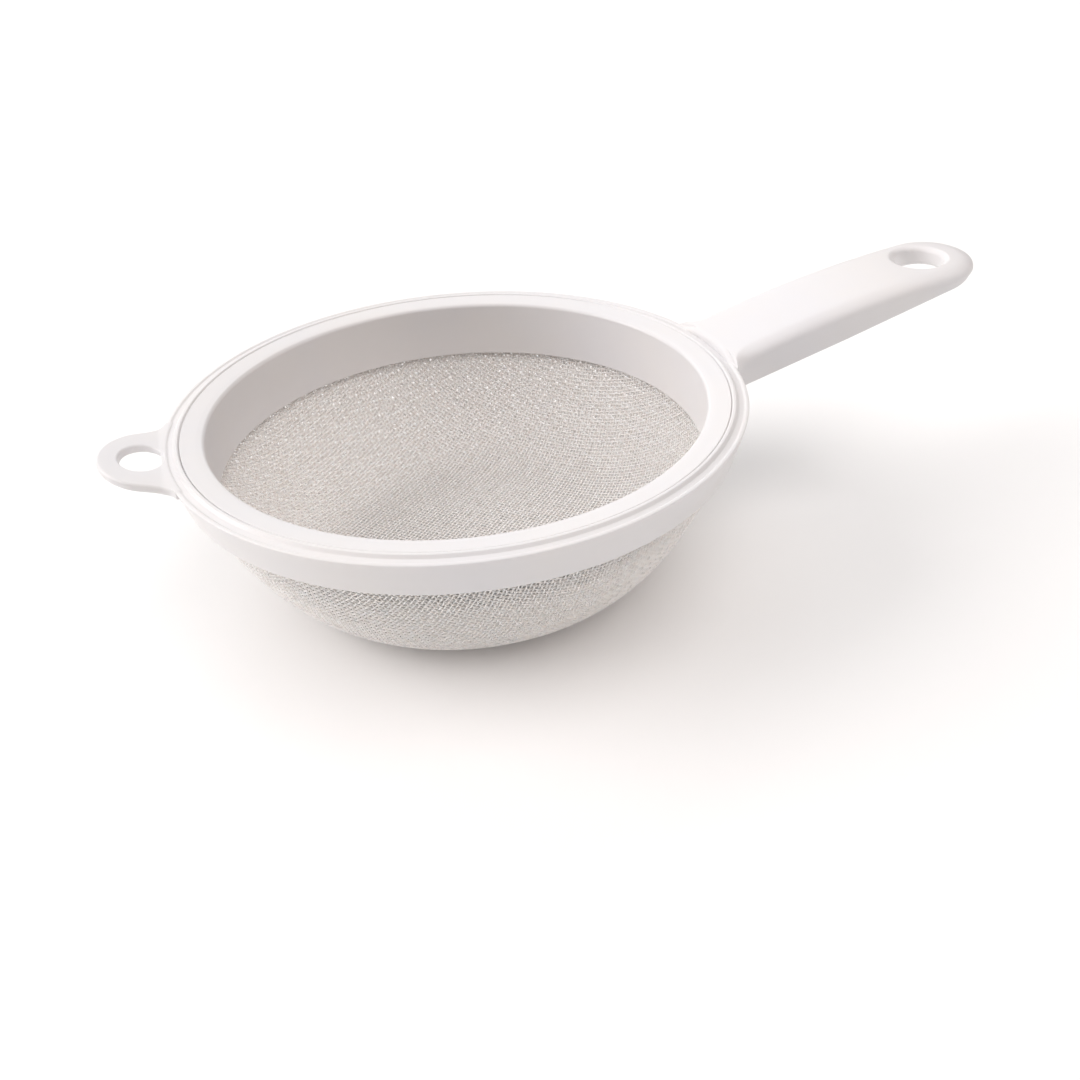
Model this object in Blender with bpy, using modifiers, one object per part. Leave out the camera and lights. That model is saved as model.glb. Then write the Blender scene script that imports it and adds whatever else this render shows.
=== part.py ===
"""Double sieve strainer: a handled outer sieve with a second sieve that lifts out of its rim.

The origin is the middle of the bowl's flat base, +Z is up and the handle points along +X.
Each sieve is a plastic ring, a mesh bowl and a hoop that clamps the mesh to the ring. The outer
ring, its handle and its ear are one moulding, held here as three solids that meet face to face.
"""

import math

import bmesh
import bpy

MM = 0.001

# Driving dimensions
RIM_RADIUS = 90 * MM  # outer lip of the rim
LIP_Z = 58 * MM  # outer lip above the flat base
SKIRT_HEIGHT = 11 * MM
SKIRT_LEAN = 3.1 * MM  # how far the skirt leans in over its height
SKIRT_WALL = 2 * MM
LEDGE_RADIUS = 82 * MM  # opening that the inner sieve drops through
RECESS_RADIUS = 84.7 * MM  # shoulder round the inner sieve's band
BAND_RADIUS = 84.3 * MM  # outer edge of the inner sieve's flat band
BAND_BASE = -1.4 * MM  # underside of the band, from the lip
BORE_RADIUS = 77.5 * MM  # inside of the tall wall
INNER_WALL = 1.5 * MM
WALL_FOOT = -20 * MM  # lower edge of the tall wall, from the lip
MESH_THICKNESS = 0.7 * MM
GAP = 0.3 * MM  # between pieces that touch
SIEVE_SPACING = 3.3 * MM  # between the two mesh bases
OUTER_FLAT_RADIUS = 32 * MM
INNER_FLAT_RADIUS = 29 * MM
OUTER_FULLNESS = 3.3  # exponent of the bowl's curve: a higher one is squarer
INNER_FULLNESS = 3.1
HANDLE_TIP_X = 187 * MM
HANDLE_HALF_WIDTH = 17.2 * MM
HANDLE_TIP_LENGTH = 15 * MM
HANDLE_WALL = 1.7 * MM
HANG_HOLE_X = 169 * MM
HANG_HOLE_HALF = (8.5 * MM, 10 * MM)
EAR_TIP_X = -107 * MM
EAR_HALF = (15.2 * MM, 17.2 * MM)  # along and across
EAR_THICKNESS = 2.5 * MM
EAR_RISE = math.radians(12)
EAR_HOLE_X = -95.2 * MM
EAR_HOLE_HALF = (6.0 * MM, 7.9 * MM)
STEPS = 72  # facets round each turned piece
SMOOTH_ANGLE = math.radians(35)


def clear_scene():
    for old in list(bpy.data.objects):
        bpy.data.objects.remove(old, do_unlink=True)


def new_collection(name, hidden=False):
    made = bpy.data.collections.new(name)
    made.hide_render = hidden
    bpy.context.scene.collection.children.link(made)
    return made


def plastic(name, colour, roughness):
    material = bpy.data.materials.new(name)
    material.use_nodes = True
    shader = material.node_tree.nodes["Principled BSDF"]
    shader.inputs["Base Color"].default_value = (*colour, 1)
    shader.inputs["Roughness"].default_value = roughness
    shader.inputs["Metallic"].default_value = 0
    return material


def add_object(name, work, collection, material=None):
    """Turn the bmesh into a named object and free it."""
    mesh = bpy.data.meshes.new(name)
    work.to_mesh(mesh)
    work.free()
    if material:
        mesh.materials.append(material)
    made = bpy.data.objects.new(name, mesh)
    collection.objects.link(made)
    return made


def shade(obj):
    obj.data.shade_smooth()
    obj.data.set_sharp_from_angle(angle=SMOOTH_ANGLE)


def turned(name, profile, collection, material=None, closed=True):
    """Turn a profile of (radius, height) points, which runs down its outer side, about +Z."""
    work = bmesh.new()
    verts = [work.verts.new((radius, 0, height)) for radius, height in profile]
    pairs = list(zip(verts, verts[1:]))
    if closed:
        pairs.append((verts[-1], verts[0]))
    for pair in pairs:
        work.edges.new(pair)
    made = add_object(name, work, collection, material)
    screw = made.modifiers.new("turn", "SCREW")
    screw.steps = screw.render_steps = STEPS
    screw.use_merge_vertices = True
    screw.merge_threshold = 1e-5
    screw.use_smooth_shade = True
    return made


def loft(name, sections, collection, material=None):
    """Skin a row of closed sections that all have the same number of points."""
    work = bmesh.new()
    rings = [[work.verts.new(point) for point in section] for section in sections]
    for here, after in zip(rings, rings[1:]):
        for i, start in enumerate(here):
            j = (i + 1) % len(here)
            work.faces.new((start, here[j], after[j], after[i]))
    work.faces.new(rings[0])
    work.faces.new(rings[-1])
    bmesh.ops.recalc_face_normals(work, faces=work.faces)
    return add_object(name, work, collection, material)


def cut(target, *cutters):
    for cutter in cutters:
        step = target.modifiers.new(cutter.name, "BOOLEAN")
        step.operation = "DIFFERENCE"
        step.object = cutter


def hide_cutter(obj):
    obj.hide_render = True
    obj.display_type = "WIRE"
    return obj


# --- the outer sieve's ring --------------------------------------------------------------


def skirt_radius(drop):
    """Outer radius of the skirt at a distance below the lip."""
    return RIM_RADIUS - SKIRT_LEAN * drop / SKIRT_HEIGHT


def skirt_bore(drop):
    return skirt_radius(drop) - SKIRT_WALL


def rim_outside():
    """The ring's outline from the recess over the ridge, the channel and the lip to its foot."""
    return [
        (RECESS_RADIUS, LIP_Z + 0.55 * MM),
        (RECESS_RADIUS + 0.4 * MM, LIP_Z + 0.95 * MM),
        (RECESS_RADIUS + 1.2 * MM, LIP_Z + 0.95 * MM),
        (RECESS_RADIUS + 2.0 * MM, LIP_Z + 0.05 * MM),
        (RECESS_RADIUS + 3.6 * MM, LIP_Z - 0.05 * MM),
        (RECESS_RADIUS + 4.2 * MM, LIP_Z + 0.35 * MM),
        (RIM_RADIUS - 0.5 * MM, LIP_Z + 0.3 * MM),
        (RIM_RADIUS, LIP_Z - 0.3 * MM),
        (skirt_radius(SKIRT_HEIGHT), LIP_Z - SKIRT_HEIGHT),
    ]


def make_rim_frame(collection, material):
    flange_drop = 3.6 * MM
    profile = rim_outside() + [
        (skirt_bore(SKIRT_HEIGHT), LIP_Z - SKIRT_HEIGHT),
        (skirt_bore(flange_drop), LIP_Z - flange_drop),
        (LEDGE_RADIUS, LIP_Z - flange_drop),
        (LEDGE_RADIUS, LIP_Z + BAND_BASE - GAP),
        (RECESS_RADIUS, LIP_Z + BAND_BASE - GAP),
    ]
    return turned("rim_frame", profile, collection, material)


def outer_mesh_radius(drop):
    """Outer face of the clamped mesh, which lies inside the leaning skirt."""
    return skirt_bore(drop) - GAP


def bowl_curve(top_radius, top_z, flat_radius, base_z, fullness, points=11):
    """Points down a bowl from its mouth to the edge of its flat base and the middle."""
    curve = []
    for i in range(points + 1):
        share = math.cos(i / points * math.pi / 2)
        radius = flat_radius + (top_radius - flat_radius) * share
        curve.append((radius, base_z + (top_z - base_z) * share**fullness))
    return curve + [(0, base_z)]


def mesh_shell(name, profile, collection, material):
    made = turned(name, profile, collection, material, closed=False)
    shell = made.modifiers.new("thickness", "SOLIDIFY")
    shell.thickness = MESH_THICKNESS
    shell.offset = -1
    return made


def make_outer_mesh(collection, material):
    clamp_top = 4.3 * MM
    profile = [(outer_mesh_radius(clamp_top), LIP_Z - clamp_top)]
    profile += bowl_curve(
        outer_mesh_radius(SKIRT_HEIGHT), LIP_Z - SKIRT_HEIGHT, OUTER_FLAT_RADIUS, 0, OUTER_FULLNESS
    )
    return mesh_shell("outer_mesh", profile, collection, material)


def make_outer_clamp_hoop(collection, material):
    top, foot, wall = 4.4 * MM, 10.4 * MM, 1.5 * MM
    inset = MESH_THICKNESS + 1.2 * GAP
    profile = [
        (outer_mesh_radius(top) - inset, LIP_Z - top),
        (outer_mesh_radius(foot) - inset, LIP_Z - foot),
        (outer_mesh_radius(foot) - inset - wall, LIP_Z - foot),
        (outer_mesh_radius(top) - inset - wall, LIP_Z - top),
    ]
    return turned("outer_clamp_hoop", profile, collection, material)


# --- the inner sieve ---------------------------------------------------------------------


def make_inner_frame(collection, material):
    wall_radius = BORE_RADIUS + INNER_WALL
    profile = [
        (BAND_RADIUS - 0.3 * MM, LIP_Z + 0.7 * MM),
        (BAND_RADIUS, LIP_Z + 0.4 * MM),
        (BAND_RADIUS, LIP_Z + BAND_BASE),
        (wall_radius, LIP_Z + BAND_BASE - 0.4 * MM),
        (wall_radius - 0.2 * MM, LIP_Z + WALL_FOOT),
        (BORE_RADIUS, LIP_Z + WALL_FOOT),
        (BORE_RADIUS, LIP_Z - 1.7 * MM),
        (BORE_RADIUS + 0.35 * MM, LIP_Z - 0.7 * MM),
        (BORE_RADIUS + 1.2 * MM, LIP_Z - 0.2 * MM),
    ]
    return turned("inner_frame", profile, collection, material)


def inner_mesh_radius():
    """Outer face of the mesh where it lies on the outside of the tall wall."""
    return BORE_RADIUS + INNER_WALL + GAP + MESH_THICKNESS


def make_inner_mesh(collection, material):
    profile = [(inner_mesh_radius(), LIP_Z - 6.8 * MM)]
    profile += bowl_curve(
        inner_mesh_radius(),
        LIP_Z + WALL_FOOT - GAP,
        INNER_FLAT_RADIUS,
        MESH_THICKNESS + SIEVE_SPACING,
        INNER_FULLNESS,
    )
    return mesh_shell("inner_mesh", profile, collection, material)


def make_inner_clamp_hoop(collection, material):
    inside = inner_mesh_radius() + GAP
    outside = inside + 1.2 * MM
    top, foot = LIP_Z - 7 * MM, LIP_Z - 13 * MM
    profile = [(outside, top), (outside, foot), (inside, foot), (inside, top)]
    return turned("inner_clamp_hoop", profile, collection, material)


# --- the handle --------------------------------------------------------------------------


def handle_top(x):
    """Height of the handle's top along its middle: a slope that flattens towards the tip."""
    t = (x - RIM_RADIUS) / RIM_RADIUS
    return LIP_Z + (2.5 + 25 * t - 9.7 * t * t) * MM


def handle_underside(x):
    """A straight slope, steeper than the top, so the handle thins towards its tip."""
    t = (x - RIM_RADIUS) / RIM_RADIUS
    return LIP_Z + (22.6 * t - 10.6) * MM


def handle_half_width(x):
    """Half the plan width below the flare of the root: a half ellipse ends it at the tip."""
    past = max(0, x - (HANDLE_TIP_X - HANDLE_TIP_LENGTH)) / HANDLE_TIP_LENGTH
    return HANDLE_HALF_WIDTH * math.sqrt(max(0, 1 - past**2))


def root_flare(x):
    """How much wider the handle's top spreads as it runs into the rim."""
    return 6.5 * MM * max(0, 1 - (x - RIM_RADIUS) / (18 * MM)) ** 2.5


def handle_section(x):
    """Outline at x: a crowned top with round shoulders, and sides that draw in downwards."""
    foot_half = handle_half_width(x)
    half = foot_half + root_flare(x)
    top, foot = handle_top(x), handle_underside(x)
    shoulder = min(4 * MM, 0.45 * half, 0.6 * (top - foot))
    draft = min(0.8 * MM, 0.1 * foot_half)
    right = [(foot_half - draft + 0.3 * root_flare(x), foot), (half, top - shoulder)]
    for degrees in (30, 60):
        turn = math.radians(degrees)
        right.append(
            (half - shoulder * (1 - math.cos(turn)), top - shoulder * (1 - math.sin(turn)))
        )
    right.append((half - shoulder, top))
    left = [(-y, z) for y, z in reversed(right)]
    return [(x, y, z) for y, z in right + left]


def handle_stations():
    """Sections from inside the rim to the tip, closer where the outline bends."""
    stations = [x * MM for x in (84, 88, 91, 94, 98, 103, 110, 122, 136, 150, 162)]
    for degrees in (0, 18, 36, 52, 66, 78, 87):
        past = HANDLE_TIP_LENGTH * math.sin(math.radians(degrees))
        stations.append(HANDLE_TIP_X - HANDLE_TIP_LENGTH + past)
    return stations


def rim_cutter(cutters):
    """The space of the ring and a gap round it, which ends the handle and the ear."""
    profile = [(radius + GAP, height) for radius, height in rim_outside()[-2:]]
    tall, deep = 30 * MM, 12 * MM
    slope = SKIRT_LEAN / SKIRT_HEIGHT
    profile.insert(0, (RIM_RADIUS + GAP, LIP_Z + tall))
    profile.append((profile[-1][0] - slope * deep, LIP_Z - SKIRT_HEIGHT - deep))
    profile += [(60 * MM, profile[-1][1]), (60 * MM, LIP_Z + tall)]
    return hide_cutter(turned("rim_cutter", profile, cutters))


def oval_cutter(name, x, z, halves, height, tilt, cutters):
    work = bmesh.new()
    bmesh.ops.create_cone(
        work, cap_ends=True, segments=32, radius1=1, radius2=1, depth=height
    )
    bmesh.ops.scale(work, vec=(*halves, 1), verts=work.verts)
    made = add_object(name, work, cutters)
    made.location = (x, 0, z)
    made.rotation_euler = (0, -tilt, 0)
    return hide_cutter(made)


def pocket_cutter(name, x_start, x_end, y_in, side, cutters):
    """One hollow of the handle's underside, between the ribs and under the top."""
    sections = []
    for i in range(5):
        x = x_start + (x_end - x_start) * i / 4
        y_out = handle_half_width(x) - HANDLE_WALL - 0.6 * MM
        foot = handle_underside(x) - 2 * MM
        roof = handle_top(x) - HANDLE_WALL
        corner = min(3 * MM, 0.5 * (roof - foot))
        outline = [
            (y_in, foot),
            (y_out, foot),
            (y_out, roof - corner),
            (y_out - corner, roof),
            (y_in, roof),
        ]
        sections.append([(x, side * y, z) for y, z in outline])
    return hide_cutter(loft(name, sections, cutters))


def make_handle(collection, cutters, material):
    made = loft("handle", [handle_section(x) for x in handle_stations()], collection, material)
    rib = 0.6 * MM  # half a rib's thickness
    bays = [(93.5, 112), (113.5, 133), (134.5, 156.5)]
    for number, (start, end) in enumerate(bays):
        for side in (-1, 1):
            name = f"pocket_{number}_{'right' if side < 0 else 'left'}"
            cut(made, pocket_cutter(name, start * MM, end * MM, rib, side, cutters))
    tilt = math.atan(0.12)
    middle_z = (handle_top(HANG_HOLE_X) + handle_underside(HANG_HOLE_X)) / 2
    cut(
        made,
        oval_cutter("hang_hole", HANG_HOLE_X, middle_z, HANG_HOLE_HALF, 40 * MM, tilt, cutters),
        bpy.data.objects["rim_cutter"],
    )
    shade(made)
    return made


# --- the ear -----------------------------------------------------------------------------


def ear_outline():
    """Plan of the ear: a half oval with a hollow fillet on each side at the rim."""
    length, width = EAR_HALF
    centre = EAR_TIP_X + length
    fillet = 5.5 * MM
    root_x = -80 * MM
    side = []
    for i in range(13):
        turn = math.radians(90 * i / 12)
        side.append((centre - length * math.cos(turn), width * math.sin(turn)))
    for i in range(1, 7):
        turn = math.radians(75 * i / 6)
        side.append((centre + fillet * math.sin(turn), width + fillet * (1 - math.cos(turn))))
    side.append((root_x, side[-1][1]))
    return side + [(x, -y) for x, y in reversed(side[1:])]


def make_rest_ear(collection, cutters, material):
    """A flat tab that rises a little from the lip to its tip."""
    top_at_rim = LIP_Z + 0.2 * MM
    slope = math.tan(EAR_RISE)
    levels = []
    for drop in (EAR_THICKNESS, 0):
        levels.append(
            [(x, y, top_at_rim - drop - (x + RIM_RADIUS) * slope) for x, y in ear_outline()]
        )
    made = loft("rest_ear", levels, collection, material)
    hole = oval_cutter(
        "ear_hole", EAR_HOLE_X, LIP_Z, EAR_HOLE_HALF, 30 * MM, -EAR_RISE, cutters
    )
    cut(made, hole, bpy.data.objects["rim_cutter"])
    shade(made)
    return made


def main():
    clear_scene()
    parts = new_collection("double_sieve_strainer")
    cutters = new_collection("cutters", hidden=True)
    white = (0.86, 0.85, 0.86)
    thread = (0.72, 0.69, 0.67)
    rim_cutter(cutters)
    make_rim_frame(parts, plastic("frame_plastic", white, 0.38))
    make_handle(parts, cutters, plastic("handle_plastic", white, 0.38))
    make_rest_ear(parts, cutters, plastic("ear_plastic", white, 0.38))
    make_outer_mesh(parts, plastic("outer_threads", thread, 0.55))
    make_outer_clamp_hoop(parts, plastic("outer_hoop_plastic", white, 0.42))
    make_inner_frame(parts, plastic("inner_frame_plastic", white, 0.36))
    make_inner_mesh(parts, plastic("inner_threads", thread, 0.55))
    make_inner_clamp_hoop(parts, plastic("inner_hoop_plastic", white, 0.42))


main()
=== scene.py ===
"""Double sieve strainer: the finished pieces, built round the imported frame.

Lengths are in metres. The origin is the middle of the outer bowl's flat base, +Z is up and the
handle points along +X. The outer moulding (ring, handle and ear), the inner moulding and the two
clamp hoops are plastic. The two bowls are woven, and every thread of them is modelled.
"""

import math

import bmesh
import bpy
import numpy as np
from mathutils import Matrix, Vector


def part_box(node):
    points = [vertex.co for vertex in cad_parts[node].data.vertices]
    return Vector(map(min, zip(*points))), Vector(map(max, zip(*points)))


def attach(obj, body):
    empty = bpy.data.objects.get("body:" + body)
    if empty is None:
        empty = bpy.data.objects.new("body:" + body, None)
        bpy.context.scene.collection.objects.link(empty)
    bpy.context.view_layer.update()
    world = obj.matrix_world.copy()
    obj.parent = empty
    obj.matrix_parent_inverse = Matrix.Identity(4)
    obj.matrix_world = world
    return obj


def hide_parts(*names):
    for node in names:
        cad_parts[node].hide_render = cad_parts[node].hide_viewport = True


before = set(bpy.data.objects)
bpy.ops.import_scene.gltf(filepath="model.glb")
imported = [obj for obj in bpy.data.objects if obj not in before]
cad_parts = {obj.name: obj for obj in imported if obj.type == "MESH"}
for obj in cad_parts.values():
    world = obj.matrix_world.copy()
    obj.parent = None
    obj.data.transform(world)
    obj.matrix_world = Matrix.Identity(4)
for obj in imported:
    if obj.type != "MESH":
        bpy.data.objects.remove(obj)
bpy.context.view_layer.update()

MM = 0.001

# The ring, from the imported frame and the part's own driving dimensions
RIDGE_RISE = 0.95 * MM  # top of the thin ridge above the lip
rim_low, rim_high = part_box("rim_frame")
RIM_RADIUS = rim_high.x
LIP_Z = rim_high.z - RIDGE_RISE
SKIRT_HEIGHT = LIP_Z - rim_low.z
SKIRT_LEAN = 3.1 * MM
SKIRT_WALL = 2 * MM
FLANGE_DROP = 3.6 * MM
LEDGE_RADIUS = 82 * MM
RECESS_RADIUS = 84.7 * MM
GAP = 0.3 * MM
BAND_CLEARANCE = 0.04 * MM  # between the inner moulding's band and the ridge round it
SEAM = 0.12 * MM  # how much further the band draws in towards its top

# The inner moulding
BAND_RADIUS = RECESS_RADIUS - BAND_CLEARANCE
BAND_BASE = -1.4 * MM
WALL_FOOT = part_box("inner_frame")[0].z - LIP_Z
BORE_RADIUS = 77.5 * MM
INNER_WALL = 1.5 * MM

# The bowls
MESH_THICKNESS = 0.7 * MM
OUTER_FLAT_RADIUS = 32 * MM
INNER_FLAT_RADIUS = 29 * MM
OUTER_FULLNESS = 3.3
INNER_FULLNESS = 3.1
INNER_BASE_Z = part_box("inner_mesh")[0].z
OUTER_PITCH = 1.1 * MM  # in the flat cloth, before it is stretched over its mould
INNER_PITCH = 1.03 * MM
OUTER_BIAS = math.radians(14)  # turn of the cloth against the handle
INNER_BIAS = math.radians(42)
STRETCH = 1.3
OUTER_HALF_WIDTH = 0.36 * MM  # of a thread
INNER_HALF_WIDTH = 0.33 * MM
THREAD_HALF_THICKNESS = 0.21 * MM
CRIMP = 0.2 * MM  # how far a thread swings to each side of the weave's middle

# The handle
HANDLE_TIP_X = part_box("handle")[1].x
HANDLE_HALF_WIDTH = 17.2 * MM
HANDLE_TIP_LENGTH = 15 * MM
HANDLE_WALL = 1.7 * MM
HANDLE_CROWN = 0.35 * MM
HANDLE_TOP_CURVE = (2.5, 25, 9.7)  # height, slope and droop in mm, per rim radius outwards
HANDLE_FOOT_LINE = (22.6, 10.6)  # slope and depth in mm, per rim radius outwards
HANDLE_DRAFT = 0.8 * MM
HANDLE_LEVELS = 16  # points down its side
SHOULDER_WIDE = 5.2 * MM
SHOULDER_TALL = 4 * MM
FOOT_ROUND = 0.6 * MM
ROOT_REACH = -1.6 * MM  # the handle's end wall, inside the ring's lip
ROOT_EDGE = 1.3 * MM  # round on top of that wall
FLARE_TOP = 7 * MM
FLARE_FOOT = 4.5 * MM
FLARE_RISE = 0.25 * MM  # above the lip, where the flare's corners meet it
BAYS = ((93.5, 112), (113.5, 133), (134.5, 156.5))  # ends of the hollows underneath, in mm
BAY_CORNER = 3 * MM
BAY_ROUND = 0.7 * MM
RIB_HALF = 0.6 * MM
HANG_HOLE_X = 169 * MM
HANG_HOLE_HALF = (7.9 * MM, 9.5 * MM)
HANG_HOLE_EDGE = 1.9 * MM

# The ear
EAR_TIP_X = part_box("rest_ear")[0].x
EAR_HALF = (15.2 * MM, 17.2 * MM)  # along and across
EAR_THICKNESS = 2.5 * MM
EAR_RISE = math.radians(12)
EAR_TOP = 0.45 * MM  # above the lip, where the ear meets the ring
EAR_REACH = -2.1 * MM  # the ear's end wall, inside the ring's outer lip
EAR_FLARE = 5.5 * MM
EAR_EDGE = 0.9 * MM
EAR_HOLE_X = -95.2 * MM
EAR_HOLE_HALF = (6.0 * MM, 7.9 * MM)

RING_STEPS = 288
SHARP_ANGLE = math.radians(38)


# --- mesh helpers ------------------------------------------------------------------------


def make_object(name, work):
    mesh = bpy.data.meshes.new(name)
    work.to_mesh(mesh)
    work.free()
    made = bpy.data.objects.new(name, mesh)
    bpy.context.scene.collection.objects.link(made)
    return made


def rounded(corners, steps=5):
    """Points of a closed profile whose (radius, height, fillet) corners are rounded off."""
    points = []
    for i, (radius, height, fillet) in enumerate(corners):
        here = Vector((radius, height))
        before = Vector(corners[i - 1][:2]) - here
        after = Vector(corners[(i + 1) % len(corners)][:2]) - here
        half = before.angle(after) / 2
        reach = min(fillet / math.tan(half), 0.45 * before.length, 0.45 * after.length)
        inward = (before.normalized() + after.normalized()).normalized()
        centre = here + inward * (reach / math.cos(half))
        first = here + before.normalized() * reach - centre
        last = here + after.normalized() * reach - centre
        start = math.atan2(first.y, first.x)
        turn = math.remainder(math.atan2(last.y, last.x) - start, 2 * math.pi)
        for k in range(steps + 1):
            angle = start + turn * k / steps
            points.append(centre + first.length * Vector((math.cos(angle), math.sin(angle))))
    return points


def lathe(name, profile, steps=RING_STEPS):
    """Turn a closed profile of (radius, height) points about +Z."""
    work = bmesh.new()
    rings = []
    for k in range(steps):
        turn = 2 * math.pi * k / steps
        across, along = math.cos(turn), math.sin(turn)
        rings.append([work.verts.new((r * across, r * along, z)) for r, z in profile])
    for ring, after in zip(rings, rings[1:] + rings[:1]):
        for i in range(len(profile)):
            j = (i + 1) % len(profile)
            work.faces.new((ring[i], ring[j], after[j], after[i]))
    bmesh.ops.recalc_face_normals(work, faces=work.faces)
    return make_object(name, work)


def add_patch(work, rows):
    """Add a grid of quads through rows of points."""
    grid = [[work.verts.new(point) for point in row] for row in rows]
    for row, after in zip(grid, grid[1:]):
        for i in range(len(row) - 1):
            work.faces.new((row[i], row[i + 1], after[i + 1], after[i]))


def tongue(name, stations, levels, point, across=14):
    """A closed body that sticks out of the ring: its sides, top, underside and inner end.

    point(station, level, share) gives a place on it, where share runs from -1 to 1 across.
    """
    work = bmesh.new()
    shares = [2 * k / across - 1 for k in range(across + 1)]
    for share in (-1, 1):
        add_patch(work, [[point(s, j, share) for j in range(levels)] for s in stations])
    for level in (0, levels - 1):
        add_patch(work, [[point(s, level, share) for share in shares] for s in stations])
    add_patch(work, [[point(stations[0], j, share) for share in shares] for j in range(levels)])
    bmesh.ops.remove_doubles(work, verts=work.verts, dist=2e-6)
    bmesh.ops.dissolve_degenerate(work, edges=work.edges, dist=1e-6)
    bmesh.ops.recalc_face_normals(work, faces=work.faces)
    return make_object(name, work)


def hole_cutter(name, centre_x, halves, top, foot, edge, sides=96):
    """An oval cutter that widens at both ends, so that it leaves a hole with rounded edges."""
    flat = math.radians(78)  # where the round stops, so that it still crosses the surface
    arc = [flat * k / 6 for k in range(7)]
    lead = 1.5 * MM
    last_grow, last_rise = edge * (1 - math.cos(flat)), -edge * (1 - math.sin(flat))
    run_out = (last_grow + lead, last_rise + lead / math.tan(flat))
    widths = [(run_out[0], 3 * MM), run_out]
    widths += [(edge * (1 - math.cos(a)), -edge * (1 - math.sin(a))) for a in reversed(arc)]
    rings = [(grow, rise, top, 1) for grow, rise in widths]
    rings += [(grow, rise, foot, -1) for grow, rise in reversed(widths)]
    work = bmesh.new()
    loops = []
    for grow, rise, surface, sign in rings:
        loop = []
        for k in range(sides):
            turn = 2 * math.pi * k / sides
            x = centre_x + (halves[0] + grow) * math.cos(turn)
            y = (halves[1] + grow) * math.sin(turn)
            loop.append(work.verts.new((x, y, surface(x, y) + sign * rise)))
        loops.append(loop)
    for loop, after in zip(loops, loops[1:]):
        for i in range(sides):
            j = (i + 1) % sides
            work.faces.new((loop[i], loop[j], after[j], after[i]))
    work.faces.new(loops[0])
    work.faces.new(loops[-1])
    bmesh.ops.recalc_face_normals(work, faces=work.faces)
    return make_object(name, work)


def combine(target, other, operation):
    """Apply a Boolean to target and remove the other object."""
    step = target.modifiers.new(operation, "BOOLEAN")
    step.operation = operation
    step.solver = "MANIFOLD"
    step.object = other
    graph = bpy.context.evaluated_depsgraph_get()
    result = bpy.data.meshes.new_from_object(target.evaluated_get(graph), depsgraph=graph)
    target.modifiers.remove(step)
    old = target.data
    target.data = result
    result.name = target.name
    bpy.data.meshes.remove(old)
    bpy.data.objects.remove(other)


def apply_modifiers(obj):
    graph = bpy.context.evaluated_depsgraph_get()
    result = bpy.data.meshes.new_from_object(obj.evaluated_get(graph), depsgraph=graph)
    obj.modifiers.clear()
    obj.data = result


def shade(obj):
    obj.data.shade_smooth()
    obj.data.set_sharp_from_angle(angle=SHARP_ANGLE)
    weighted = obj.modifiers.new("weighted", "WEIGHTED_NORMAL")
    weighted.keep_sharp = True
    weighted.weight = 80


def smooth_step(value):
    value = min(1, max(0, value))
    return value * value * (3 - 2 * value)


# --- the outer moulding: ring, handle and ear --------------------------------------------


def skirt_radius(drop):
    return RIM_RADIUS - SKIRT_LEAN * drop / SKIRT_HEIGHT


def skirt_bore(drop):
    return skirt_radius(drop) - SKIRT_WALL


def make_ring():
    """The thin ridge round the recess, the shallow channel, the outer lip and the skirt."""
    foot, flange, seat = LIP_Z - SKIRT_HEIGHT, LIP_Z - FLANGE_DROP, LIP_Z + BAND_BASE - GAP
    corners = [
        (RECESS_RADIUS, LIP_Z + 0.4 * MM, 0.4 * MM),
        (RECESS_RADIUS + 0.4 * MM, LIP_Z + RIDGE_RISE, 0.3 * MM),
        (RECESS_RADIUS + 1.25 * MM, LIP_Z + RIDGE_RISE, 0.4 * MM),
        (RECESS_RADIUS + 2.0 * MM, LIP_Z + 0.05 * MM, 0.45 * MM),
        (RECESS_RADIUS + 3.6 * MM, LIP_Z - 0.05 * MM, 0.4 * MM),
        (RECESS_RADIUS + 4.2 * MM, LIP_Z + 0.35 * MM, 0.35 * MM),
        (RIM_RADIUS - 0.05 * MM, LIP_Z + 0.3 * MM, 0.5 * MM),
        (skirt_radius(SKIRT_HEIGHT), foot, 0.5 * MM),
        (skirt_bore(SKIRT_HEIGHT), foot, 0.5 * MM),
        (skirt_bore(FLANGE_DROP), flange, 0.6 * MM),
        (LEDGE_RADIUS, flange, 0.3 * MM),
        (LEDGE_RADIUS, seat, 0.3 * MM),
        (RECESS_RADIUS, seat, 0.15 * MM),
    ]
    return lathe("frame_moulding", rounded(corners))


def handle_top(x, y=0):
    """A slope that flattens towards the tip, very slightly crowned."""
    t = (x - RIM_RADIUS) / RIM_RADIUS
    crown = HANDLE_CROWN * (y / HANDLE_HALF_WIDTH) ** 2
    height, slope, droop = HANDLE_TOP_CURVE
    return LIP_Z + (height + slope * t - droop * t * t) * MM - crown


def handle_underside(x, y=0):
    t = (x - RIM_RADIUS) / RIM_RADIUS
    slope, depth = HANDLE_FOOT_LINE
    return LIP_Z + (slope * t - depth) * MM


def handle_side(top, foot):
    """(inset, height) down the side: a soft shoulder, a drafted wall and a small foot round."""
    tall = min(SHOULDER_TALL, 0.6 * (top - foot))
    side = []
    for k in range(9):
        turn = math.radians(90 * k / 8)
        side.append((SHOULDER_WIDE * (1 - math.sin(turn)), top - tall * (1 - math.cos(turn))))
    start, end = top - tall, foot + FOOT_ROUND
    for share in (0.33, 0.67):
        side.append((HANDLE_DRAFT * share, start + (end - start) * share))
    for k in range(5):
        turn = math.radians(90 * k / 4)
        inset = HANDLE_DRAFT + FOOT_ROUND * (1 - math.cos(turn))
        side.append((inset, foot + FOOT_ROUND * (1 - math.sin(turn))))
    return side


def fillet_spread(reach, radius):
    """How far a wall has spread sideways when it is this far from the ring it runs into."""
    left = max(0, min(radius, radius - reach))
    return radius - math.sqrt(max(0, radius**2 - left**2))


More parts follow.
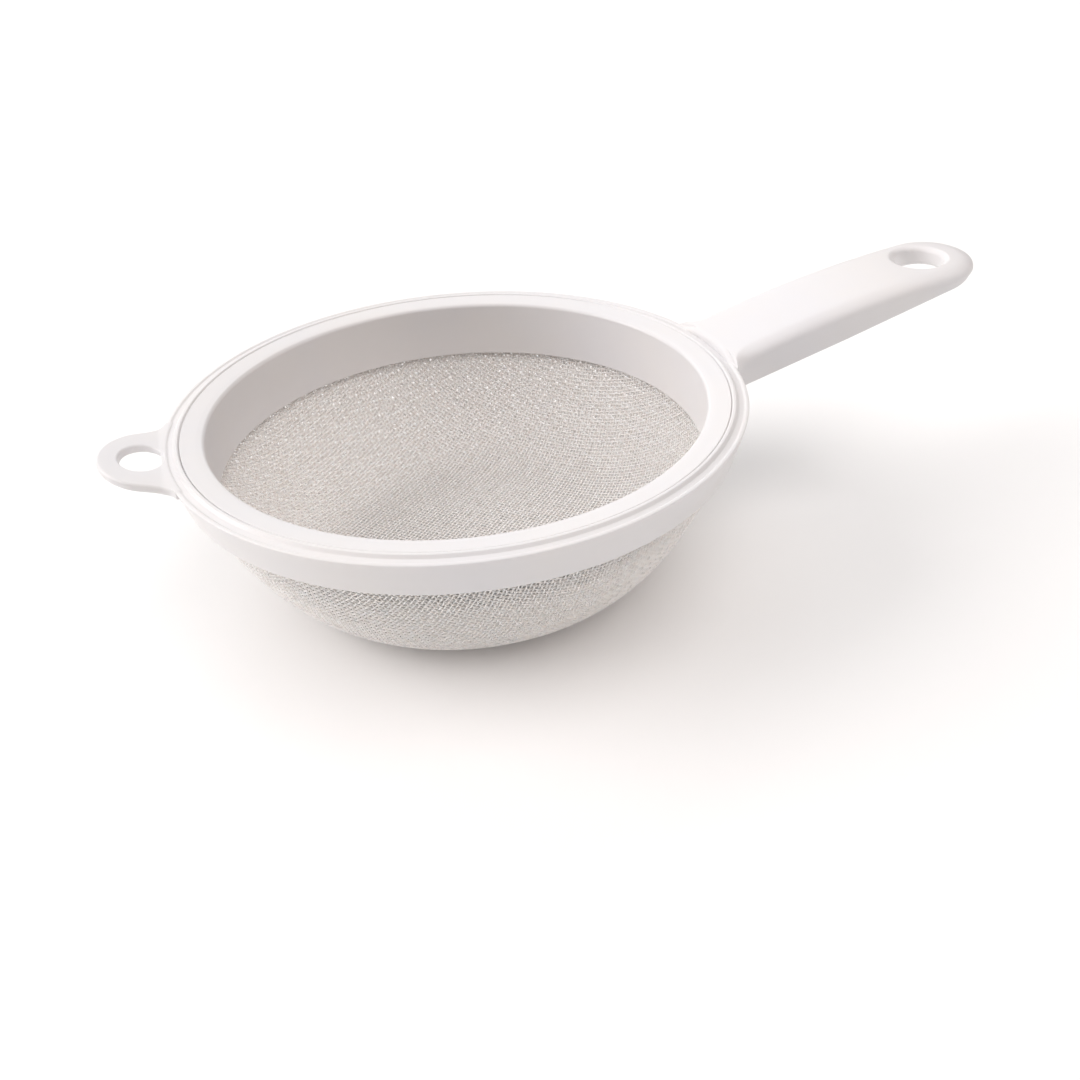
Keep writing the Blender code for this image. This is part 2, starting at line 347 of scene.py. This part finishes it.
def ring_x(reach, y, radius, straight):
    """X of a point that is reach outside the ring, on an arc near it and straight further out."""
    arc = math.sqrt(max(0, (radius + reach) ** 2 - y**2))
    return arc + (radius + reach - arc) * straight


def handle_point(station, level, share):
    """Curved like the ring at its root, where it flares, and straight further out."""
    reach, sink, turn = station
    straight = smooth_step((reach - 5 * MM) / (24 * MM))
    guess_x = RIM_RADIUS + reach + HANDLE_TIP_LENGTH * math.sin(turn)
    inset, _ = handle_side(handle_top(guess_x), handle_underside(guess_x))[level]
    half = (HANDLE_HALF_WIDTH - inset) * math.cos(turn)
    flare_radius = FLARE_TOP + (FLARE_FOOT - FLARE_TOP) * (level / (HANDLE_LEVELS - 1))
    flare = fillet_spread(reach, flare_radius)
    y = share * (half + flare)
    tip = (HANDLE_TIP_LENGTH - inset) * math.sin(turn)
    x = ring_x(reach, y, RIM_RADIUS, straight) + tip
    top, foot = handle_top(x, y), handle_underside(x)
    merge = smooth_step((abs(share) * flare / FLARE_TOP - 0.55) / 0.45)
    top = min(top, top - (top - LIP_Z - FLARE_RISE) * merge) - sink
    z = handle_side(top, foot)[level][1]
    drop = max(0, LIP_Z - z)
    return Vector((ring_x(reach, y, skirt_radius(drop), straight) + tip, y, z))


def handle_stations():
    """(reach, sink, turn): distance from the ring, round of the end wall, angle at the tip."""
    stations = []
    for k in range(7):
        turn = math.radians(90 * k / 6)
        reach = ROOT_REACH + ROOT_EDGE * (1 - math.cos(turn))
        stations.append((reach, ROOT_EDGE * (1 - math.sin(turn)), 0))
    stations += [(FLARE_TOP * (k / 14) ** 2, 0, 0) for k in range(15)]
    straight_end = HANDLE_TIP_X - HANDLE_TIP_LENGTH - RIM_RADIUS
    steps = 42
    for k in range(1, steps + 1):
        stations.append((FLARE_TOP + (straight_end - FLARE_TOP) * k / steps, 0, 0))
    stations += [(straight_end, 0, math.radians(90 * k / 20)) for k in range(1, 21)]
    return stations


def pocket_cutter(start, end, side):
    """One hollow of the handle's underside, between the ribs and under the top."""
    work = bmesh.new()
    rings = []
    out = HANDLE_HALF_WIDTH - HANDLE_WALL - HANDLE_DRAFT
    for k in range(13):
        x = start + (end - start) * k / 12
        foot, roof = handle_underside(x) - 2 * MM, handle_top(x, out) - HANDLE_WALL
        corner = min(BAY_CORNER, 0.5 * (roof - foot))
        outline = [(RIB_HALF, foot), (out, foot), (out, roof - corner)]
        for degrees in (22, 45, 68):
            turn = math.radians(degrees)
            outline.append(
                (out - corner * (1 - math.cos(turn)), roof - corner * (1 - math.sin(turn)))
            )
        outline += [(out - corner, roof), (RIB_HALF, roof)]
        rings.append([work.verts.new((x, side * y, z)) for y, z in outline])
    for ring, after in zip(rings, rings[1:]):
        for i in range(len(ring)):
            j = (i + 1) % len(ring)
            work.faces.new((ring[i], ring[j], after[j], after[i]))
    work.faces.new(rings[0])
    work.faces.new(rings[-1])
    bmesh.ops.recalc_face_normals(work, faces=work.faces)
    made = make_object("pocket", work)
    bevel = made.modifiers.new("round", "BEVEL")
    bevel.width = BAY_ROUND
    bevel.segments = 3
    bevel.angle_limit = math.radians(50)
    bevel.limit_method = "ANGLE"
    apply_modifiers(made)
    return made


def make_handle():
    made = tongue("handle_body", handle_stations(), HANDLE_LEVELS, handle_point)
    for start, end in BAYS:
        for side in (-1, 1):
            combine(made, pocket_cutter(start * MM, end * MM, side), "DIFFERENCE")
    hole = hole_cutter(
        "hang_hole", HANG_HOLE_X, HANG_HOLE_HALF, handle_top, handle_underside, HANG_HOLE_EDGE
    )
    combine(made, hole, "DIFFERENCE")
    return made


def ear_top(x, y=0):
    """Level over the ring's lip, then a steady rise outwards."""
    return LIP_Z + EAR_TOP + max(0, -x - RIM_RADIUS) * math.tan(EAR_RISE)


def ear_underside(x, y=0):
    return ear_top(x) - EAR_THICKNESS


def ear_side():
    """(inset, drop) down the ear's edge: a top round, the wall and a smaller bottom round."""
    bottom = 0.6 * MM
    side = []
    for k in range(6):
        turn = math.radians(90 * k / 5)
        side.append((EAR_EDGE * (1 - math.sin(turn)), EAR_EDGE * (1 - math.cos(turn))))
    for k in range(5):
        turn = math.radians(90 * k / 4)
        drop = EAR_THICKNESS - bottom * (1 - math.sin(turn))
        side.append((bottom * (1 - math.cos(turn)), drop))
    return side


def ear_point(station, level, share):
    """As handle_point, but thin, and straight sooner."""
    reach, sink, turn = station
    inset, drop = ear_side()[level]
    length, width = EAR_HALF[0] - inset, EAR_HALF[1] - inset
    flare = fillet_spread(reach + EAR_HALF[0] * math.sin(turn), EAR_FLARE)
    y = share * (width * math.cos(turn) + flare)
    straight = smooth_step((reach + length * math.sin(turn)) / (9 * MM))
    x = -ring_x(reach, y, RIM_RADIUS, straight) - length * math.sin(turn)
    return Vector((x, y, ear_top(x) - drop - sink * (1 - drop / EAR_THICKNESS)))


def make_ear():
    """A flat tab whose half oval starts where it leaves the ring."""
    start = -EAR_TIP_X - EAR_HALF[0] - RIM_RADIUS
    stations = []
    for k in range(6):
        turn = math.radians(90 * k / 5)
        reach = EAR_REACH + EAR_EDGE * (1 - math.cos(turn))
        stations.append((reach, EAR_EDGE * (1 - math.sin(turn)), 0))
    stations += [(start * k / 5, 0, 0) for k in range(6)]
    stations += [(start, 0, math.radians(90 * (k / 40) ** 1.3)) for k in range(1, 41)]
    made = tongue("ear_body", stations, len(ear_side()), ear_point)
    hole = hole_cutter(
        "ear_hole", EAR_HOLE_X, EAR_HOLE_HALF, ear_top, ear_underside, 0.7 * MM, sides=72
    )
    combine(made, hole, "DIFFERENCE")
    return made


def make_frame_moulding(material):
    made = make_ring()
    combine(made, make_handle(), "UNION")
    combine(made, make_ear(), "UNION")
    made.data.materials.clear()
    made.data.materials.append(material)
    shade(made)
    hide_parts("rim_frame", "handle", "rest_ear")
    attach(made, "outer_sieve")
    return made


# --- the inner moulding and the hoops ----------------------------------------------------


def make_insert_moulding(material):
    """A wide flat band with a rounded inner lip, and the tall wall under it."""
    wall = BORE_RADIUS + INNER_WALL
    corners = [
        (BAND_RADIUS - SEAM, LIP_Z + 0.7 * MM, 0.3 * MM),
        (BAND_RADIUS, LIP_Z + 0.1 * MM, 0.2 * MM),
        (BAND_RADIUS, LIP_Z + BAND_BASE, 0.2 * MM),
        (wall, LIP_Z + BAND_BASE - 0.3 * MM, 0.5 * MM),
        (wall - 0.2 * MM, LIP_Z + WALL_FOOT, 0.4 * MM),
        (BORE_RADIUS, LIP_Z + WALL_FOOT, 0.4 * MM),
        (BORE_RADIUS, LIP_Z - 0.35 * MM, 1.6 * MM),
        (BORE_RADIUS + 2.4 * MM, LIP_Z + 0.1 * MM, 1.4 * MM),
    ]
    made = lathe("insert_moulding", rounded(corners, steps=7))
    made.data.materials.append(material)
    shade(made)
    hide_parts("inner_frame")
    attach(made, "inner_sieve")
    return made


def outer_mesh_radius(drop):
    return skirt_bore(drop) - GAP


def inner_mesh_radius():
    return BORE_RADIUS + INNER_WALL + GAP + MESH_THICKNESS


def make_hoop(name, corners, node, body, material):
    made = lathe(name, rounded([(r, z, 0.3 * MM) for r, z in corners], steps=4))
    made.data.materials.append(material)
    shade(made)
    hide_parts(node)
    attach(made, body)
    return made


def make_hoops(material):
    top, foot, wall = 4.4 * MM, 10.4 * MM, 1.5 * MM
    inset = MESH_THICKNESS + 1.2 * GAP
    high, low = outer_mesh_radius(top) - inset, outer_mesh_radius(foot) - inset
    corners = [
        (high, LIP_Z - top),
        (low, LIP_Z - foot),
        (low - wall, LIP_Z - foot),
        (high - wall, LIP_Z - top),
    ]
    make_hoop("outer_hoop", corners, "outer_clamp_hoop", "outer_sieve", material)
    low_corner, high_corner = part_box("inner_clamp_hoop")
    inside = inner_mesh_radius() + GAP
    corners = [
        (high_corner.x, high_corner.z),
        (high_corner.x, low_corner.z),
        (inside, low_corner.z),
        (inside, high_corner.z),
    ]
    make_hoop("inner_hoop", corners, "inner_clamp_hoop", "inner_sieve", material)


# --- the woven bowls ---------------------------------------------------------------------


def bowl_profile(edge, mouth, flat_radius, base_z, fullness, points=60):
    """(radius, height) from the middle of the flat base out and up to the clamped edge."""
    profile = [(0, base_z)]
    for i in range(points, -1, -1):
        share = math.cos(i / points * math.pi / 2)
        height = base_z + (mouth[1] - base_z) * share**fullness
        profile.append((flat_radius + (mouth[0] - flat_radius) * share, height))
    return np.array(profile + [edge])


class Bowl:
    """Maps a flat round cloth onto a bowl, stretched evenly outwards from the middle."""

    def __init__(self, profile, bias):
        step = np.gradient(profile, axis=0)
        outward = np.stack([step[:, 1], -step[:, 0]], 1)
        outward /= np.linalg.norm(outward, axis=1)[:, None]
        self.outward = outward
        self.points = profile - outward * (THREAD_HALF_THICKNESS + CRIMP)
        runs = np.linalg.norm(np.diff(self.points, axis=0), axis=1)
        self.run = np.concatenate([[0], np.cumsum(runs)])
        self.cloth_radius = self.run[-1] / STRETCH
        self.bias = bias

    def place(self, u, v):
        """Points on the bowl and the directions out of it, for cloth coordinates."""
        run = np.hypot(u, v) * STRETCH
        radius = np.interp(run, self.run, self.points[:, 0])
        height = np.interp(run, self.run, self.points[:, 1])
        out = np.interp(run, self.run, self.outward[:, 0])
        down = np.interp(run, self.run, self.outward[:, 1])
        turn = np.arctan2(v, u) + self.bias
        across, along = np.cos(turn), np.sin(turn)
        place = np.stack([radius * across, radius * along, height], -1)
        normal = np.stack([out * across, out * along, down], -1)
        return place, normal / np.linalg.norm(normal, axis=-1, keepdims=True)


def crossing(column, row, pitch):
    """Where two threads cross in the flat cloth. The spacing is a little uneven, as woven."""
    u = column + 0.07 * np.sin(2.3 * column) + 0.05 * np.sin(0.37 * row + 1.1 * column)
    v = row + 0.07 * np.sin(1.9 * row) + 0.05 * np.sin(0.41 * column + 1.3 * row)
    return u * pitch, v * pitch


def thread_mesh(bowl, pitch, half_width, crosswise):
    """Vertices and faces of all the threads that run one way. Each has four sides."""
    count = int(bowl.cloth_radius / pitch)
    verts, faces, total = [], [], 0
    for i in range(-count, count + 1):
        last = int(math.sqrt(max(0, bowl.cloth_radius**2 - (i * pitch) ** 2)) / pitch)
        if last < 2:
            continue
        j = np.arange(-last, last + 1)
        side = np.where((i + j) % 2 == 0, 1.0, -1.0) * (-1 if crosswise else 1)
        columns, rows = (np.full(len(j), i), j) if crosswise else (j, np.full(len(j), i))
        u, v = crossing(columns, rows, pitch)
        place, normal = bowl.place(u, v)
        centre = place + normal * (side * CRIMP)[:, None]
        tangent = np.gradient(place, axis=0)
        tangent /= np.linalg.norm(tangent, axis=1)[:, None]
        beside = np.cross(tangent, normal)
        up, aside = THREAD_HALF_THICKNESS * normal, half_width * beside
        ring = [centre + up, centre + aside, centre - up, centre - aside]
        verts.append(np.stack(ring, 1).reshape(-1, 3))
        start = total + 4 * np.arange(len(j) - 1)[:, None] + np.arange(4)[None, :]
        turned = total + 4 * np.arange(len(j) - 1)[:, None] + (np.arange(4)[None, :] + 1) % 4
        faces.append(np.stack([start, turned, turned + 4, start + 4], -1).reshape(-1, 4))
        end = total + 4 * (len(j) - 1)
        caps = [[total + 3, total + 2, total + 1, total], [end, end + 1, end + 2, end + 3]]
        faces.append(np.array(caps))
        total += 4 * len(j)
    return np.concatenate(verts), np.concatenate(faces)


def make_threads(name, cloth, crosswise, node, body, material):
    verts, faces = thread_mesh(*cloth, crosswise)
    mesh = bpy.data.meshes.new(name)
    mesh.vertices.add(len(verts))
    mesh.vertices.foreach_set("co", verts.astype(np.float32).ravel())
    mesh.loops.add(faces.size)
    mesh.loops.foreach_set("vertex_index", faces.astype(np.int32).ravel())
    mesh.polygons.add(len(faces))
    mesh.polygons.foreach_set("loop_start", np.arange(0, faces.size, 4, dtype=np.int32))
    mesh.update(calc_edges=True)
    mesh.validate()
    mesh.shade_smooth()
    mesh.materials.append(material)
    made = bpy.data.objects.new(name, mesh)
    bpy.context.scene.collection.objects.link(made)
    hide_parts(node)
    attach(made, body)
    return made


def make_bowls(outer_material, inner_material):
    clamp_top = 4.3 * MM
    outer = Bowl(
        bowl_profile(
            (outer_mesh_radius(clamp_top), LIP_Z - clamp_top),
            (outer_mesh_radius(SKIRT_HEIGHT), LIP_Z - SKIRT_HEIGHT),
            OUTER_FLAT_RADIUS,
            0,
            OUTER_FULLNESS,
        ),
        OUTER_BIAS,
    )
    inner = Bowl(
        bowl_profile(
            (inner_mesh_radius(), LIP_Z - 6.8 * MM),
            (inner_mesh_radius(), LIP_Z + WALL_FOOT - GAP),
            INNER_FLAT_RADIUS,
            INNER_BASE_Z,
            INNER_FULLNESS,
        ),
        INNER_BIAS,
    )
    outer_cloth = (outer, OUTER_PITCH, OUTER_HALF_WIDTH)
    inner_cloth = (inner, INNER_PITCH, INNER_HALF_WIDTH)
    for crosswise, way in ((False, "warp"), (True, "weft")):
        make_threads(
            f"outer_{way}_threads", outer_cloth, crosswise,
            "outer_mesh", "outer_sieve", outer_material,
        )
        make_threads(
            f"inner_{way}_threads", inner_cloth, crosswise,
            "inner_mesh", "inner_sieve", inner_material,
        )


# --- materials ---------------------------------------------------------------------------


def new_material(name):
    material = bpy.data.materials.new(name)
    material.use_nodes = True
    nodes = material.node_tree.nodes
    return material, nodes, material.node_tree.links, nodes["Principled BSDF"]


def noise(nodes, links, scale, detail=2.0):
    """A noise texture in object space. Scale is in cycles per metre."""
    coordinates = nodes.new("ShaderNodeTexCoord")
    texture = nodes.new("ShaderNodeTexNoise")
    texture.inputs["Scale"].default_value = scale
    texture.inputs["Detail"].default_value = detail
    links.new(coordinates.outputs["Object"], texture.inputs["Vector"])
    return texture.outputs["Fac"]


def patchy_colour(nodes, links, shader, value, low, high):
    """Let the base colour wander between two; the socket keeps their mean as a plain stand-in."""
    ramp = nodes.new("ShaderNodeValToRGB")
    for element, at, colour in zip(ramp.color_ramp.elements, (0.35, 0.65), (low, high)):
        element.position = at
        element.color = (*colour, 1)
    links.new(value, ramp.inputs["Fac"])
    base = shader.inputs["Base Color"]
    base.default_value = (*(Vector(low) + Vector(high)) / 2, 1)
    links.new(ramp.outputs["Color"], base)


def map_range(nodes, links, value, low, high):
    remap = nodes.new("ShaderNodeMapRange")
    remap.inputs["From Min"].default_value = 0.3
    remap.inputs["From Max"].default_value = 0.7
    remap.inputs["To Min"].default_value = low
    remap.inputs["To Max"].default_value = high
    links.new(value, remap.inputs["Value"])
    return remap.outputs["Result"]


def bump(nodes, links, height, distance, strength):
    made = nodes.new("ShaderNodeBump")
    made.inputs["Distance"].default_value = distance
    made.inputs["Strength"].default_value = strength
    links.new(height, made.inputs["Height"])
    return made.outputs["Normal"]


def plastic(name, cool, warm, roughness):
    """Satin moulded polypropylene: faint flow mottling and a fine spark-eroded grain."""
    material, nodes, links, shader = new_material(name)
    patchy_colour(nodes, links, shader, noise(nodes, links, 22, 3), cool, warm)
    gloss = map_range(nodes, links, noise(nodes, links, 90, 4), roughness - 0.05, roughness + 0.06)
    links.new(gloss, shader.inputs["Roughness"])
    grain = bump(nodes, links, noise(nodes, links, 2600, 3), 0.02 * MM, 0.5)
    links.new(grain, shader.inputs["Normal"])
    shader.inputs["IOR"].default_value = 1.49
    shader.inputs["Subsurface Weight"].default_value = 0.12
    shader.inputs["Subsurface Radius"].default_value = (1.0, 0.9, 0.85)
    shader.inputs["Subsurface Scale"].default_value = 1.5 * MM
    return material


def thread(name, dark, light, roughness, glow):
    """Pale monofilament, a little uneven along its length."""
    material, nodes, links, shader = new_material(name)
    patchy_colour(nodes, links, shader, noise(nodes, links, 420, 4), dark, light)
    gloss = map_range(nodes, links, noise(nodes, links, 400, 2), roughness - 0.08, roughness + 0.08)
    links.new(gloss, shader.inputs["Roughness"])
    shader.inputs["IOR"].default_value = 1.53
    shader.inputs["Subsurface Weight"].default_value = glow
    shader.inputs["Subsurface Radius"].default_value = (1.0, 0.92, 0.86)
    shader.inputs["Subsurface Scale"].default_value = 0.5 * MM
    return material


# --- floor, lights and camera ------------------------------------------------------------


def make_floor():
    work = bmesh.new()
    bmesh.ops.create_grid(work, x_segments=1, y_segments=1, size=3)
    floor = make_object("floor", work)
    material, _, _, shader = new_material("floor")
    shader.inputs["Base Color"].default_value = (0.94, 0.94, 0.94, 1)
    shader.inputs["Roughness"].default_value = 0.8
    floor.data.materials.append(material)


def aim(direction, up=Vector((0, 0, 1))):
    """Rotation whose -Z looks along direction."""
    right = direction.cross(up).normalized()
    return Matrix((right, right.cross(direction), -direction)).transposed()


def make_world():
    """A faint glow all round, which looks as pale as the floor beyond the floor's far edge."""
    world = bpy.data.worlds.new("studio")
    world.use_nodes = True
    nodes, links = world.node_tree.nodes, world.node_tree.links
    glow = nodes["Background"]
    glow.inputs["Color"].default_value = (1.0, 0.96, 0.94, 1)
    glow.inputs["Strength"].default_value = 0.05
    beyond = nodes.new("ShaderNodeBackground")
    beyond.inputs["Color"].default_value = (1, 1, 1, 1)
    seen = nodes.new("ShaderNodeMixShader")
    links.new(nodes.new("ShaderNodeLightPath").outputs["Is Camera Ray"], seen.inputs["Fac"])
    links.new(glow.outputs["Background"], seen.inputs[1])
    links.new(beyond.outputs["Background"], seen.inputs[2])
    links.new(seen.outputs["Shader"], nodes["World Output"].inputs["Surface"])
    bpy.context.scene.world = world


def make_lights():
    """Broad soft lights: a low key from behind on the left, and fill from the other sides."""
    make_world()
    # (azimuth and height it comes from, width across the sky, strength, colour)
    for name, azimuth, height, width, energy, colour in (
        ("key", 158, 25, 48, 2.25, (1.0, 0.965, 0.95)),
        ("back", 90, 24, 60, 0.9, (0.95, 0.98, 1.0)),
        ("overhead", 150, 85, 85, 0.95, (0.98, 0.985, 1.0)),
        ("front", 300, 58, 70, 1.4, (1.0, 0.94, 0.91)),
        ("right", 10, 40, 85, 0.25, (1.0, 0.91, 0.84)),
    ):
        light = bpy.data.lights.new(name, "SUN")
        light.energy = energy
        light.angle = math.radians(width)
        light.color = colour
        lamp = bpy.data.objects.new(name, light)
        turn = Matrix.Rotation(math.radians(azimuth), 3, "Z")
        rise = math.radians(height)
        lamp.matrix_world = aim(turn @ Vector((-math.cos(rise), 0, -math.sin(rise)))).to_4x4()
        bpy.context.scene.collection.objects.link(lamp)


def make_camera():
    """Looks down into the bowl from in front and a little left of it."""
    azimuth, elevation, distance = math.radians(-13.56), math.radians(26.22), 0.315
    aside, lowered, roll = 0.068, -0.151, math.radians(-3.455)
    back = Vector((
        math.sin(azimuth) * math.cos(elevation),
        -math.cos(azimuth) * math.cos(elevation),
        math.sin(elevation),
    ))
    eye = Vector((0, 0, LIP_Z)) + distance * back
    level = aim(-back)
    look = (level @ Vector((math.tan(aside), math.tan(lowered), -1))).normalized()
    camera = bpy.data.objects.new("camera", bpy.data.cameras.new("camera"))
    turned = aim(look) @ Matrix.Rotation(roll, 3, "Z")
    camera.matrix_world = Matrix.Translation(eye) @ turned.to_4x4()
    camera.data.lens = 33.0
    camera.data.sensor_width = 36
    camera.data.clip_start = 0.01
    bpy.context.scene.collection.objects.link(camera)
    bpy.context.scene.camera = camera


def main():
    make_camera()
    make_floor()
    make_lights()
    white, warm_white = (0.765, 0.755, 0.77), (0.785, 0.765, 0.76)
    make_frame_moulding(plastic("frame_plastic", white, warm_white, 0.36))
    make_insert_moulding(plastic("insert_plastic", white, warm_white, 0.34))
    make_hoops(plastic("hoop_plastic", white, warm_white, 0.42))
    # The outer threads are a little warmer and brighter than the inner ones: painted warm bounce
    # light from under the bowl.
    make_bowls(
        thread("outer_thread", (0.955, 0.89, 0.85), (0.99, 0.955, 0.93), 0.3, 0.5),
        thread("inner_thread", (0.92, 0.87, 0.84), (0.99, 0.965, 0.945), 0.3, 0.3),
    )
    bpy.context.scene.view_settings.view_transform = "Standard"


main()
